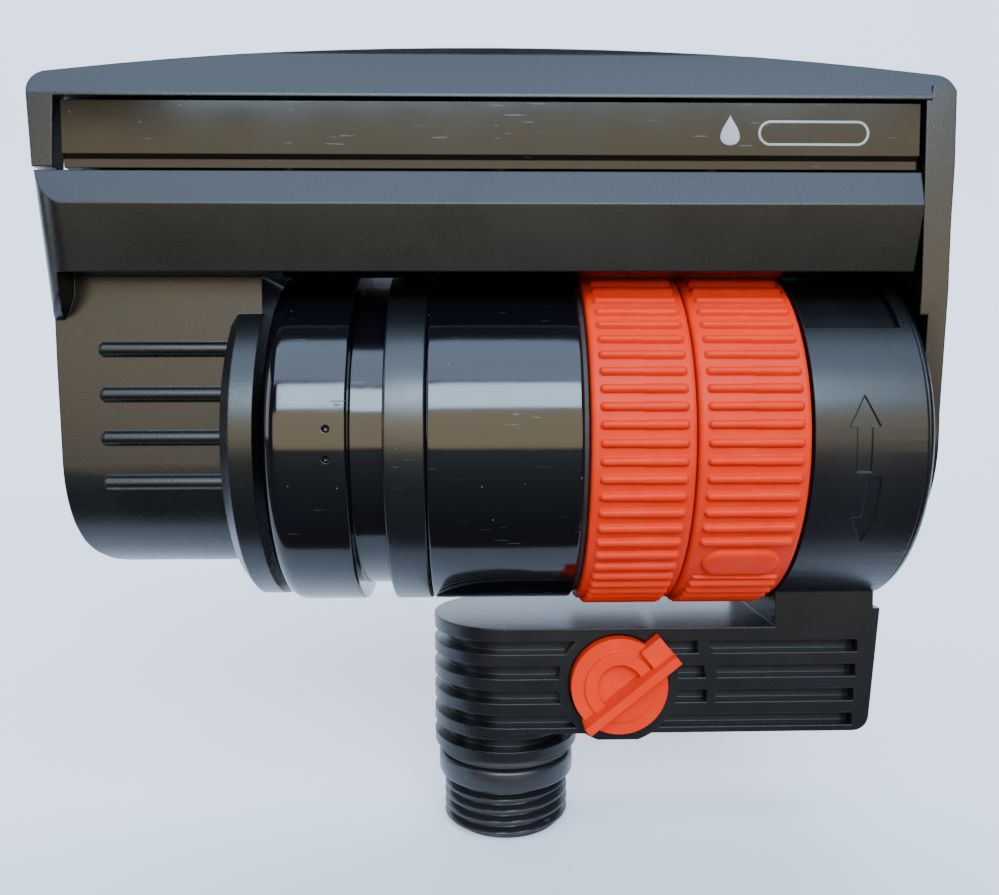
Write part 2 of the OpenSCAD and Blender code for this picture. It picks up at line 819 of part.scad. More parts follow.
module nozzle_body() {
    pocket_x = [-56, -28, 2, 32];
    color(gloss) difference() {
        rotate([90, 0, 90]) translate([0, 0, body_x[0]]) linear_extrude(body_x[1] - body_x[0]) polygon([
            [-body_half + 0.6, body_z[0]], [-body_half + 0.6, body_z[0] + 1.2], [-body_half, body_z[0] + 1.8],
            [-body_half, body_z[1]], [body_half, body_z[1]],
            [body_half, body_z[0] + 1.8], [body_half - 0.6, body_z[0] + 1.2], [body_half - 0.6, body_z[0]]
        ]);
        box([channel_x[0], -channel_half + 1, body_z[0] - 1], [channel_x[1], channel_half - 1, nozzle_seat]);
        for (i = [0:nozzles - 1]) at_nozzle(i) cylinder(r = 1.9, h = 12, center = true, $fn = 32);
        for (x = pocket_x, s = [-1, 1])
            translate([x, s * screw_y - 3.8, body_z[0] + 2]) cube([22, 7.6, 20]);
        for (x = bar_screw_x, s = [-1, 1])
            translate([x, s * screw_y, body_z[0] - 1]) cylinder(r = 1.6, h = 20, $fn = 24);
        for (x = hood_screw_x, s = [-1, 1])
            translate([x, s * hood_screw_y, 106]) cylinder(r = 1.1, h = 10, $fn = 24);
    }
}

// flexible nozzles with a collar that the hood holds down
module soft_nozzles() {
    color("#3a3b3e") for (i = [0:nozzles - 1]) at_nozzle(i) difference() {
        union() {
            translate([0, 0, 0.3]) cylinder(r = 1.85, h = 4.2, $fn = 32);
            translate([0, 0, 4.4]) cylinder(r1 = 1.85, r2 = 1.2, h = 3.9, $fn = 32);
            translate([0, 0, 2.9]) cylinder(r = 2.5, h = 0.8, $fn = 32);
        }
        translate([0, 0, -1]) cylinder(r = 0.5, h = 20, $fn = 16);
    }
}

// pan-head screw with its seat at z = 0
module screw(shank_r, head_r, head_h, length) {
    difference() {
        union() {
            cylinder(r = head_r, h = head_h, $fn = 32);
            translate([0, 0, -length]) cylinder(r = shank_r, h = length + eps, $fn = 24);
        }
        for (a = [0, 90]) rotate(a) translate([-head_r * 0.6, -0.3, head_h - 0.7]) cube([head_r * 1.2, 0.6, 1]);
    }
}

module bar_screws() {
    color(steel) for (x = bar_screw_x, s = [-1, 1])
        translate([x, s * screw_y, body_z[1]]) screw(1.5, 2.8, 1.6, 12);
}

module hood() {
    color(matte) difference() {
        union() {
            hood_shell();
            hood_arm();
        }
        rod_x([50, hub_x], relief_r);
        rod_x([59, 70], 4.2);
    }
}

// height of the hood's crowned top at x, lowered by d
function crown_z(x, d = 0) =
    hood_z[1] - hood_arc_r - d + sqrt(hood_arc_r * hood_arc_r - (x - hood_mid_x) * (x - hood_mid_x));

// points along the crowned top from x0 to x1
function crown(x0, x1, d, n) = [for (i = [0:n]) let (x = x0 + (x1 - x0) * i / n) [x, crown_z(x, d)]];

// screw posts of the hood, or the holes through them
module hood_posts(r, z, h) {
    for (x = hood_screw_x, s = [-1, 1]) translate([x, s * hood_screw_y, z]) cylinder(r = r, h = h, $fn = 32);
}

module hood_shell() {
    right = hood_x[1] - hood_corner_r;
    left = hood_x[0] + hood_corner_r;
    inside = hood_half - 3.4;
    difference() {
        intersection() {
            slab_y([-30, 30], concat(
                arc([right, crown_z(right) - hood_corner_r], hood_corner_r, 0, 80, 6),
                crown(right - 2, left + 2, 0, 16),
                arc([left, crown_z(left) - hood_corner_r], hood_corner_r, 100, 180, 6),
                [[-65.8, 102.4], [-63, 102.4], [-62.6, 112], [59.6, 112], [hood_x[1], 112]]
            ));
            rotate([90, 0, 90]) translate([0, 0, -70]) linear_extrude(140) polygon([
                [-hood_half, 100], [-hood_half, 112.4], [-hood_half + hood_lean, 118.4], [-hood_half + hood_lean + 1.2, 120.3],
                [hood_half - hood_lean - 1.2, 120.3], [hood_half - hood_lean, 118.4], [hood_half, 112.4], [hood_half, 100]
            ]);
        }
        difference() {
            slab_y([-inside, inside], concat([[59.6, 100]], crown(59.6, -62.4, hood_wall, 12), [[-62.4, 100]]));
            hood_posts(2.2, 112, 8);
        }
        box([-70, -inside, 100], [-62, inside, 112]);
        for (i = [0:nozzles - 1]) at_nozzle(i) translate([0, 0, 4]) cylinder(r = 2.6, h = 12, $fn = 32);
        hood_posts(1.5, 100, 20);
    }
}

hood_screw_z = 113.6;

// right-hand arm: a D-shaped plate that widens towards the hood
module hood_arm() {
    difference() {
        union() {
            arm_section([inner_x, 62.6], hood_arm_half, arm_floor, 72);
            intersection() {
                slab_y([-30, 30], [
                    [inner_x, 68], [inner_x, 112.5], [59.7, 114], [hood_x[1] - 0.5, 114], [hood_x[1], 113.2],
                    [hood_x[1], 103], [62.7, 95], [62.6, 88], [62.6, 68]
                ]);
                rotate([90, 0, 90]) linear_extrude(80) polygon([
                    [-hood_arm_half, 68], [-hood_half, 86], [-hood_half, 115],
                    [hood_half, 115], [hood_half, 86], [hood_arm_half, 68]
                ]);
            }
        }
        box([50, -30, 111.9], [59.6, 30, 130]);
    }
}

module hood_screws() {
    color(steel) for (x = hood_screw_x, s = [-1, 1])
        translate([x, s * hood_screw_y, hood_screw_z]) screw(1, 1.45, 1.4, 5);
}

module pivot_bush() {
    color(acetal) tube_x([hub_x, 61.5], 4.18, 3 + run);
}

// --- assembly ---------------------------------------------------------------

housing();
inlet_spigot();
inlet_filter();
spigot_o_ring();
drum_end_cap();
drum_o_ring();
drive_barrel();
barrel_collar();
end_cap();
cap_o_ring();
ring_washer();
shaft_bush();
shaft_seal();
gear_plate_left();
gear_plate_right();
gear_pins();
jet_plate();
over_centre_spring();
pivot_pin();
limit_ring_left();
limit_ring_right();
flow_knob();
valve_plug();
valve_o_ring();
turbine_wheel();
turbine_pinion();
first_gear();
second_gear();
third_gear();
reverse_flap();
flap_shaft();
output_gear();
output_shaft();
trip_finger();
swing_arm();
arm_cover();
hub_o_ring();
bar_gasket();
nozzle_body();
soft_nozzles();
bar_screws();
hood();
hood_screws();
pivot_bush();
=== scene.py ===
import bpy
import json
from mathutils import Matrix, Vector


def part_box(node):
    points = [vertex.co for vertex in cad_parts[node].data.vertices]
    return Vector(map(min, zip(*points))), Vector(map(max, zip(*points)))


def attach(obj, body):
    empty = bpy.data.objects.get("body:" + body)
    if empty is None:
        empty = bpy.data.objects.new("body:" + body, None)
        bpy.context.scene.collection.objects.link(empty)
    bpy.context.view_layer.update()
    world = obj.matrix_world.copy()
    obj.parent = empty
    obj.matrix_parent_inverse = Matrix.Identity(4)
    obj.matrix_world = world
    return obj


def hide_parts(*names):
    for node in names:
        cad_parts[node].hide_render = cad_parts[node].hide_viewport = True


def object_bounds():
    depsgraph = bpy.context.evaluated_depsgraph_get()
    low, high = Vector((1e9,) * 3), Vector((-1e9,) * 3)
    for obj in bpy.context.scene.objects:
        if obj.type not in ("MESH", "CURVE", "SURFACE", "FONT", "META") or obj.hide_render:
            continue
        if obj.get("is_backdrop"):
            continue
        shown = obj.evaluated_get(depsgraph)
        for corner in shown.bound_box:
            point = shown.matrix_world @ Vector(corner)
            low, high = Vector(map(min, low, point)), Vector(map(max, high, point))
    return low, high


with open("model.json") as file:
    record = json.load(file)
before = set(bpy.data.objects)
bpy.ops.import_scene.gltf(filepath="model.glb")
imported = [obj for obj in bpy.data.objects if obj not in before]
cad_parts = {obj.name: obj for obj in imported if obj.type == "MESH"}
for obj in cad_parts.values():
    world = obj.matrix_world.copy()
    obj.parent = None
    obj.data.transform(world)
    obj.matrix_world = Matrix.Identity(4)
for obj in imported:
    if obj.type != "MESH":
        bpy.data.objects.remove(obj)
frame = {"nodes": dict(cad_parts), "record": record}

"""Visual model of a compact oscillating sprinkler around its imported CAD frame.

Sizes in the classes are in millimetres, in the frame's own axes: +X along the barrel, -Y towards
the flow knob and +Z up. Meshes are written in metres.
"""

import json
import logging
import math
from collections.abc import Callable
from dataclasses import dataclass, field
from enum import Enum

import bmesh
import bpy
import numpy as np
from mathutils import Matrix

LOG = logging.getLogger("sprinkler")
MM = 0.001
TAU = 2 * math.pi
# Points of a CAD mesh closer than this, in metres, are one point
MERGE_DISTANCE = 1e-6
# Faces of a CAD mesh that meet at less than this are one face, and edges sharper than the next are rounded
FLAT_ANGLE = math.radians(0.4)
EDGE_ANGLE = math.radians(32)

Triple = tuple[float, float, float]
Socket = bpy.types.NodeSocket
Swell = Callable[[np.ndarray, np.ndarray, np.ndarray], np.ndarray]


class Body(Enum):
    """The rigid bodies that pieces ride on."""

    HOUSING = "housing"
    SWING = "swing"
    LIMIT_LEFT = "limit_left"
    LIMIT_RIGHT = "limit_right"
    VALVE = "valve"


# --- places in the frame -----------------------------------------------------


def span(node: str) -> np.ndarray:
    """Returns a CAD node's low and high corners in millimetres, as two rows."""
    return np.array(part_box(node), dtype=float) / MM


def barrel_axis_z() -> float:
    """Returns the height of the barrel axis in millimetres."""
    return float(span("drive_barrel")[:, 2].mean())


# --- meshes from numpy grids ---------------------------------------------------


def link_object(name: str, mesh: bpy.types.Mesh) -> bpy.types.Object:
    """Puts a mesh into the scene.

    Args:
        name: The object's name.
        mesh: Its mesh.

    Returns:
        The new object, at the origin.
    """
    obj = bpy.data.objects.new(name, mesh)
    bpy.context.scene.collection.objects.link(obj)
    return obj


def make_mesh(name: str, points: np.ndarray, faces: list[list[int]] | np.ndarray) -> bpy.types.Object:
    """Makes a linked object from points in millimetres.

    Args:
        name: The piece's name.
        points: Vertices, one row each, in millimetres.
        faces: Lists or rows of vertex indices.

    Returns:
        The new object, at the origin, with its faces pointing outwards.
    """
    mesh = bpy.data.meshes.new(name)
    rows = [list(map(int, face)) for face in faces]
    mesh.from_pydata((np.asarray(points, dtype=float) * MM).tolist(), [], rows)
    bm = bmesh.new()
    bm.from_mesh(mesh)
    bmesh.ops.recalc_face_normals(bm, faces=bm.faces)
    bm.to_mesh(mesh)
    bm.free()
    return link_object(name, mesh)


def grid_faces(rows: int, columns: int, wrap_rows: bool, wrap_columns: bool) -> np.ndarray:
    """Quads between neighbouring points of a rows x columns grid.

    Args:
        rows: Number of rows.
        columns: Number of columns.
        wrap_rows: Whether the last row joins the first.
        wrap_columns: Whether the last column joins the first.

    Returns:
        An array with four indices in each row.
    """
    last_row, last_column = rows - (not wrap_rows), columns - (not wrap_columns)
    i, j = np.meshgrid(np.arange(last_row), np.arange(last_column), indexing="ij")
    i2, j2 = (i + 1) % rows, (j + 1) % columns
    quads = [i * columns + j, i * columns + j2, i2 * columns + j2, i2 * columns + j]
    return np.stack(quads, -1).reshape(-1, 4)


def lofted(name: str, rings: np.ndarray) -> bpy.types.Object:
    """Closes a stack of closed rings with a flat cap at each end.

    Args:
        name: The piece's name.
        rings: Points as (stations, points in a ring, 3), in millimetres.

    Returns:
        The new object.
    """
    stations, count, _ = rings.shape
    faces = grid_faces(stations, count, False, True).tolist()
    faces += [list(range(count)), list(range((stations - 1) * count, stations * count))]
    return make_mesh(name, rings.reshape(-1, 3), faces)


def rounded(corners: list[Triple], steps: int = 5) -> np.ndarray:
    """A closed outline whose corners are rounded by arcs.

    Args:
        corners: (a, b, radius) of each corner, in order.
        steps: Pieces in each arc.

    Returns:
        The outline's points, one row each. An arc starts at r / tan(half angle) from its corner, and its
        points are found by turning evenly from its start to its end.
    """
    pts = np.array([c[:2] for c in corners], dtype=float)
    out: list[np.ndarray] = []
    for k, (_, _, radius) in enumerate(corners):
        here, back, ahead = pts[k], pts[k - 1], pts[(k + 1) % len(pts)]
        if radius <= 0:
            out.append(here[None])
            continue
        a, b = back - here, ahead - here
        a, b = a / np.linalg.norm(a), b / np.linalg.norm(b)
        half = math.acos(float(np.clip(a @ b, -1, 1))) / 2
        centre = here + (a + b) / np.linalg.norm(a + b) * radius / math.sin(half)
        start = here + a * radius / math.tan(half) - centre
        end = here + b * radius / math.tan(half) - centre
        turn = math.acos(float(np.clip(start @ end / radius**2, -1, 1)))
        t = np.linspace(0, 1, steps + 1)[:, None]
        out.append(centre + (np.sin((1 - t) * turn) * start + np.sin(t * turn) * end) / math.sin(turn))
    return np.concatenate(out)


def densified(outline: np.ndarray, step: float) -> np.ndarray:
    """Adds evenly spaced points to the long sides of a closed outline.

    Args:
        outline: The outline's points, one row each.
        step: Sides longer than this are divided.

    Returns:
        The outline with the new points.
    """
    parts = []
    for a, b in zip(outline, np.roll(outline, -1, axis=0)):
        count = max(1, int(np.linalg.norm(b - a) / step))
        parts.append(a + (b - a) * np.arange(count)[:, None] / count)
    return np.concatenate(parts)


def turned(name: str, outline: np.ndarray, angles: np.ndarray,
           swell: Swell | None = None) -> bpy.types.Object:
    """Turns a closed (radius, x) outline about the barrel axis.

    Args:
        name: The piece's name.
        outline: Rows of (radius, x) in millimetres.
        angles: Angles from the top towards the front, in radians.
        swell: Function of (radius, x, angle) arrays that gives the height added to the radius, or None.

    Returns:
        The new object. A point is (x, -r sin a, axis + r cos a).
    """
    r, a = np.meshgrid(outline[:, 0], angles, indexing="ij")
    x = np.broadcast_to(outline[:, 1:2], r.shape)
    if swell is not None:
        r = r + swell(r, x, a)
    pts = np.stack([x, -r * np.sin(a), barrel_axis_z() + r * np.cos(a)], -1)
    return make_mesh(name, pts.reshape(-1, 3), grid_faces(len(outline), len(angles), True, True))


def around(count: int) -> np.ndarray:
    """Returns count even angles of a full turn."""
    return np.arange(count) * TAU / count


def joined(name: str, pieces: list[bpy.types.Object]) -> bpy.types.Object:
    """Joins pieces into one object.

    Args:
        name: The new object's name.
        pieces: The pieces, which are removed.

    Returns:
        The new object.
    """
    bm = bmesh.new()
    for piece in pieces:
        bm.from_mesh(piece.data)
        bpy.data.objects.remove(piece)
    mesh = bpy.data.meshes.new(name)
    bm.to_mesh(mesh)
    bm.free()
    return link_object(name, mesh)


def moulded(name: str, node: str, edge: float, steps: int = 2) -> bpy.types.Object:
    """Copies a CAD node's mesh, merges it and rounds its sharp edges.

    Args:
        name: The new piece's name.
        node: The CAD node.
        edge: Width of the rounding in millimetres.
        steps: Segments in the rounding.

    Returns:
        The new object, with live Bevel and Weighted Normal modifiers.
    """
    mesh = frame["nodes"][node].data.copy()
    mesh.materials.clear()
    bm = bmesh.new()
    bm.from_mesh(mesh)
    bmesh.ops.remove_doubles(bm, verts=bm.verts, dist=MERGE_DISTANCE)
    bmesh.ops.dissolve_limit(bm, angle_limit=FLAT_ANGLE, verts=bm.verts, edges=bm.edges)
    bm.to_mesh(mesh)
    bm.free()
    obj = link_object(name, mesh)
    bevel = obj.modifiers.new("edges", "BEVEL")
    bevel.width = edge * MM
    bevel.segments = steps
    bevel.limit_method = "ANGLE"
    bevel.angle_limit = EDGE_ANGLE
    bevel.harden_normals = True
    even = obj.modifiers.new("even_normals", "WEIGHTED_NORMAL")
    even.keep_sharp = True
    return obj


def finish_piece(obj: bpy.types.Object, finish: "Finish", body: Body,
                 nodes: tuple[str, ...] = (), angle: float = 35) -> None:
    """Shades, dresses and places a new piece.

    Args:
        obj: The piece.
        finish: The finish that makes its material.
        body: The body that it rides on.
        nodes: CAD nodes that the piece stands for.
        angle: Edges sharper than this many degrees stay sharp.
    """
    obj.data.shade_smooth()
    obj.data.set_sharp_from_angle(angle=math.radians(angle))
    obj.data.materials.clear()
    obj.data.materials.append(finish.material())
    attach(obj, body.value)
    if nodes:
        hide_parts(*nodes)
    LOG.info("%s rides on %s with %d faces", obj.name, body.value, len(obj.data.polygons))


# --- finishes ---------------------------------------------------------------------


class Shader:
    """A short hand for wiring one material's nodes."""

    def __init__(self, name: str) -> None:
        """Starts a material with a Principled shader and object coordinates.

        Args:
            name: The material's name.
        """
        self.mat = bpy.data.materials.new(name)
        self.mat.use_nodes = True
        self.tree = self.mat.node_tree
        self.bsdf = self.tree.nodes["Principled BSDF"]
        self.coords = self.tree.nodes.new("ShaderNodeTexCoord").outputs["Object"]

    def link(self, out: Socket, into: Socket) -> None:
        """Links two sockets."""
        self.tree.links.new(out, into)

    def placed(self, size: float, stretch: Triple = (1, 1, 1)) -> Socket:
        """Scales the object coordinates.

        Args:
            size: Millimetres that become one unit.
            stretch: Further factor along each axis.

        Returns:
            The socket of the scaled coordinates.
        """
        place = self.tree.nodes.new("ShaderNodeMapping")
        place.inputs["Scale"].default_value = tuple(s / (size * MM) for s in stretch)
        self.link(self.coords, place.inputs["Vector"])
        return place.outputs["Vector"]

    def noise(self, size: float, detail: float = 2.0, stretch: Triple = (1, 1, 1),
              rough: float = 0.5) -> Socket:
        """Adds noise.

        Args:
            size: Size of its cells in millimetres.
            detail: Octaves of finer noise.
            stretch: How much finer the cells are along each axis.
            rough: Strength of the finer octaves.

        Returns:
            The factor socket.
        """
        node = self.tree.nodes.new("ShaderNodeTexNoise")
        node.inputs["Scale"].default_value = 1.0
        node.inputs["Detail"].default_value = detail
        node.inputs["Roughness"].default_value = rough
        self.link(self.placed(size, stretch), node.inputs["Vector"])
        return node.outputs["Fac"]

    def specks(self, size: float, keep: float) -> Socket:
        """Adds sparse round specks, one near the middle of each cell.

        Args:
            size: Size of the cells in millimetres.
            keep: Radius of a speck as a share of its cell.

        Returns:
            A factor socket: 1 inside a speck and 0 elsewhere.
        """
        node = self.tree.nodes.new("ShaderNodeTexVoronoi")
        node.inputs["Scale"].default_value = 1.0
        self.link(self.placed(size), node.inputs["Vector"])
        return self.ramp(node.outputs["Distance"], keep, keep * 0.5)

    def ramp(self, value: Socket, low: float, high: float) -> Socket:
        """Maps a range to 0..1 and clamps what lies outside it.

        Args:
            value: The value.
            low: Value that becomes 0.
            high: Value that becomes 1.

        Returns:
            The socket of the mapped value.
        """
        node = self.tree.nodes.new("ShaderNodeMapRange")
        node.inputs["From Min"].default_value = low
        node.inputs["From Max"].default_value = high
        self.link(value, node.inputs["Value"])
        return node.outputs["Result"]

    def scaled(self, value: Socket, low: float, high: float) -> Socket:
        """Maps a factor of 0..1 to a range.

        Args:
            value: The factor.
            low: What 0 becomes.
            high: What 1 becomes.

        Returns:
            The socket of the mapped value.
        """
        node = self.tree.nodes.new("ShaderNodeMapRange")
        node.inputs["To Min"].default_value = low
        node.inputs["To Max"].default_value = high
        self.link(value, node.inputs["Value"])
        return node.outputs["Result"]

    def math(self, kind: str, a: Socket, b: Socket) -> Socket:
        """Joins two values.

        Args:
            kind: Operation of the Math node.
            a: The first value.
            b: The second value.

        Returns:
            The socket of the outcome.
        """
        node = self.tree.nodes.new("ShaderNodeMath")
        node.operation = kind
        self.link(a, node.inputs[0])
        self.link(b, node.inputs[1])
        return node.outputs["Value"]

    def mix(self, factor: Socket, a: Socket | Triple, b: Socket | Triple) -> Socket:
        """Mixes two colours.

        Args:
            factor: 0 gives the first colour and 1 the second.
            a: The first colour, or a socket that carries it.
            b: The second colour, or a socket that carries it.

        Returns:
            The socket of the mixed colour.
        """
        node = self.tree.nodes.new("ShaderNodeMix")
        node.data_type = "RGBA"
        self.link(factor, node.inputs["Factor"])
        for socket, value in ((node.inputs[6], a), (node.inputs[7], b)):
            if isinstance(value, tuple):
                socket.default_value = (*value, 1)
            else:
                self.link(value, socket)
        return node.outputs[2]

    def bump(self, height: Socket, strength: float, distance: float, before: Socket | None = None) -> Socket:
        """Raises the surface in shading.

        Args:
            height: The height, from 0 to 1.
            strength: How much of the bump shows.
            distance: Millimetres that a height of 1 stands for.
            before: The normal that is bumped, or None for the surface's own.

        Returns:
            The socket of the new normal.
        """
        node = self.tree.nodes.new("ShaderNodeBump")
        node.inputs["Strength"].default_value = strength
        node.inputs["Distance"].default_value = distance * MM
        self.link(height, node.inputs["Height"])
        if before is not None:
            self.link(before, node.inputs["Normal"])
        return node.outputs["Normal"]

    def edges(self, radius: float) -> Socket:
        """Rounds normals over sharp edges.

        Args:
            radius: Radius of the rounding in millimetres.

        Returns:
            The socket of the rounded normal.
        """
        node = self.tree.nodes.new("ShaderNodeBevel")
        node.samples = 6
        node.inputs["Radius"].default_value = radius * MM
        return node.outputs["Normal"]


@dataclass(frozen=True)
class Finish:
    """A named finish that makes its material the first time that it is asked for."""

    name: str

    def material(self) -> bpy.types.Material:
        """Returns the finish's material."""
        made = bpy.data.materials.get(self.name)
        if made is None:
            shader = Shader(self.name)
            self.dress(shader)
            made = shader.mat
        return made

    def dress(self, s: Shader) -> None:
        """Wires the finish into a new shader; each kind of finish has its own way.

        Args:
            s: The shader.
        """
        raise NotImplementedError


@dataclass(frozen=True)
class GrainedPlastic(Finish):
    """Moulded plastic with a fine spark-eroded grain and lighter rubbed patches."""

    dark: Triple
    light: Triple
    roughness: float = 0.46
    grain: float = 0.16
    depth: float = 0.018
    edge: float = 0.3
    specular: float = 0.42

    def dress(self, s: Shader) -> None:
        """Wires the finish into a new shader.

        Args:
            s: The shader.
        """
        fine, patch = s.noise(self.grain, 3), s.noise(14, 4)
        s.link(s.mix(s.ramp(patch, 0.35, 0.7), self.dark, self.light), s.bsdf.inputs["Base Color"])
        speckle = s.scaled(fine, self.roughness - 0.06, self.roughness + 0.06)
        rough = s.math("ADD", s.scaled(patch, -0.05, 0.05), speckle)
        s.link(rough, s.bsdf.inputs["Roughness"])
        s.bsdf.inputs["Specular IOR Level"].default_value = self.specular
        s.link(s.bump(fine, 0.55, self.depth, s.edges(self.edge)), s.bsdf.inputs["Normal"])


@dataclass(frozen=True)
class PolishedPlastic(Finish):
    """Glossy plastic with hairline scratches, faint flow waves and dust specks."""

    base: Triple
    roughness: float = 0.1
    scratches: float = 0.5
    wave: float = 0.006
    edge: float = 0.15
    specular: float = 0.5

    def dress(self, s: Shader) -> None:
        """Wires the finish into a new shader.

        Args:
            s: The shader.
        """
        smear = s.noise(9, 4, rough=0.6)
        line = s.noise(0.5, 1, stretch=(0.12, 0.12, 1.6))
        hair = s.math("MULTIPLY", s.ramp(line, 0.70, 0.74), s.ramp(s.noise(6, 1), 0.52, 0.62))
        dust = s.specks(3.4, 0.035)
        tint = s.mix(s.scaled(hair, 0, 0.10 * self.scratches), self.base, (0.42, 0.43, 0.46))
        s.link(s.mix(s.scaled(dust, 0, 0.3), tint, (0.5, 0.5, 0.52)), s.bsdf.inputs["Base Color"])
        smeared = s.scaled(smear, self.roughness * 0.7, self.roughness * 1.5)
        rough = s.math("ADD", smeared, s.scaled(hair, 0, 0.3))
        s.link(rough, s.bsdf.inputs["Roughness"])
        s.bsdf.inputs["Specular IOR Level"].default_value = self.specular
        normal = s.bump(s.noise(3.5, 2), 0.25, self.wave, s.edges(self.edge))
        s.link(s.bump(hair, 0.3, 0.01, normal), s.bsdf.inputs["Normal"])


@dataclass(frozen=True)
class SatinColour(Finish):
    """Coloured moulded plastic with slight mottling, rubbed highlights and a soft glow under its skin."""

    base: Triple
    pale: Triple
    roughness: float = 0.34
    specular: float = 0.3

    def dress(self, s: Shader) -> None:
        """Wires the finish into a new shader.

        Args:
            s: The shader.
        """
        mottle, rub = s.noise(4.5, 4, rough=0.6), s.noise(0.35, 3)
        s.link(s.mix(s.ramp(mottle, 0.45, 0.85), self.base, self.pale), s.bsdf.inputs["Base Color"])
        rubbed = s.scaled(rub, self.roughness - 0.05, self.roughness + 0.07)
        rough = s.math("ADD", s.scaled(mottle, -0.06, 0.08), rubbed)
        s.link(rough, s.bsdf.inputs["Roughness"])
        s.bsdf.inputs["Specular IOR Level"].default_value = self.specular
        s.bsdf.inputs["Subsurface Weight"].default_value = 0.08
        s.bsdf.inputs["Subsurface Radius"].default_value = (0.0012, 0.0004, 0.0002)
        s.bsdf.inputs["Subsurface Scale"].default_value = 1.0
        s.link(s.bump(rub, 0.35, 0.008, s.edges(0.2)), s.bsdf.inputs["Normal"])


@dataclass(frozen=True)
class Rubber(Finish):
    """Dull rubber with a faint bloom."""

    base: Triple
    roughness: float = 0.62

    def dress(self, s: Shader) -> None:
        """Wires the finish into a new shader.

        Args:
            s: The shader.
        """
        bloom, skin = s.noise(2.2, 4), s.noise(0.12, 2)
        pale = tuple(min(1.0, c * 1.6 + 0.01) for c in self.base)
        s.link(s.mix(s.ramp(bloom, 0.5, 0.8), self.base, pale), s.bsdf.inputs["Base Color"])
        s.link(s.scaled(bloom, self.roughness - 0.08, self.roughness + 0.1), s.bsdf.inputs["Roughness"])
        s.link(s.bump(skin, 0.3, 0.01), s.bsdf.inputs["Normal"])


@dataclass(frozen=True)
class DrawnSteel(Finish):
    """Metal with fine lines drawn along the barrel axis."""

    base: Triple
    roughness: float = 0.28

    def dress(self, s: Shader) -> None:
        """Wires the finish into a new shader.

        Args:
            s: The shader.
        """
        lines = s.noise(0.08, 2, stretch=(0.03, 1, 1))
        s.link(s.mix(lines, self.base, tuple(c * 0.75 for c in self.base)), s.bsdf.inputs["Base Color"])
        s.link(s.scaled(lines, self.roughness - 0.06, self.roughness + 0.1), s.bsdf.inputs["Roughness"])
        s.bsdf.inputs["Metallic"].default_value = 1.0
        s.link(s.bump(lines, 0.2, 0.004), s.bsdf.inputs["Normal"])


HOUSING_BLACK = GrainedPlastic("housing_black", (0.004, 0.004, 0.005), (0.007, 0.007, 0.009), roughness=0.29,
                               specular=0.34)
ARM_BLACK = GrainedPlastic("arm_black", (0.003, 0.003, 0.003), (0.005, 0.005, 0.006), roughness=0.28)
BARREL_BLACK = PolishedPlastic("barrel_black", (0.002, 0.002, 0.003), roughness=0.10)
COLLAR_BLACK = PolishedPlastic("collar_black", (0.004, 0.004, 0.005), roughness=0.24, scratches=0.3)
STRIP_BLACK = PolishedPlastic("strip_black", (0.011, 0.009, 0.006), roughness=0.10, scratches=0.8,
                              specular=0.27)
SPIGOT_BLACK = PolishedPlastic("spigot_black", (0.009, 0.009, 0.010), roughness=0.3, scratches=0.4)
SIGNAL_ORANGE = SatinColour("signal_orange", (0.64, 0.023, 0.003), (0.67, 0.038, 0.008), roughness=0.42,
                            specular=0.12)
SEAL_RUBBER = Rubber("seal_rubber", (0.011, 0.011, 0.012))
NOZZLE_RUBBER = Rubber("nozzle_rubber", (0.036, 0.037, 0.040), roughness=0.5)
GEAR_WHITE = SatinColour("gear_white", (0.78, 0.76, 0.69), (0.84, 0.82, 0.77), roughness=0.4)
PIN_STEEL = DrawnSteel("pin_steel", (0.58, 0.59, 0.60))
MARK_GREY = SatinColour("mark_grey", (0.30, 0.31, 0.33), (0.40, 0.41, 0.43), roughness=0.3)


# --- sub-assemblies ------------------------------------------------------------


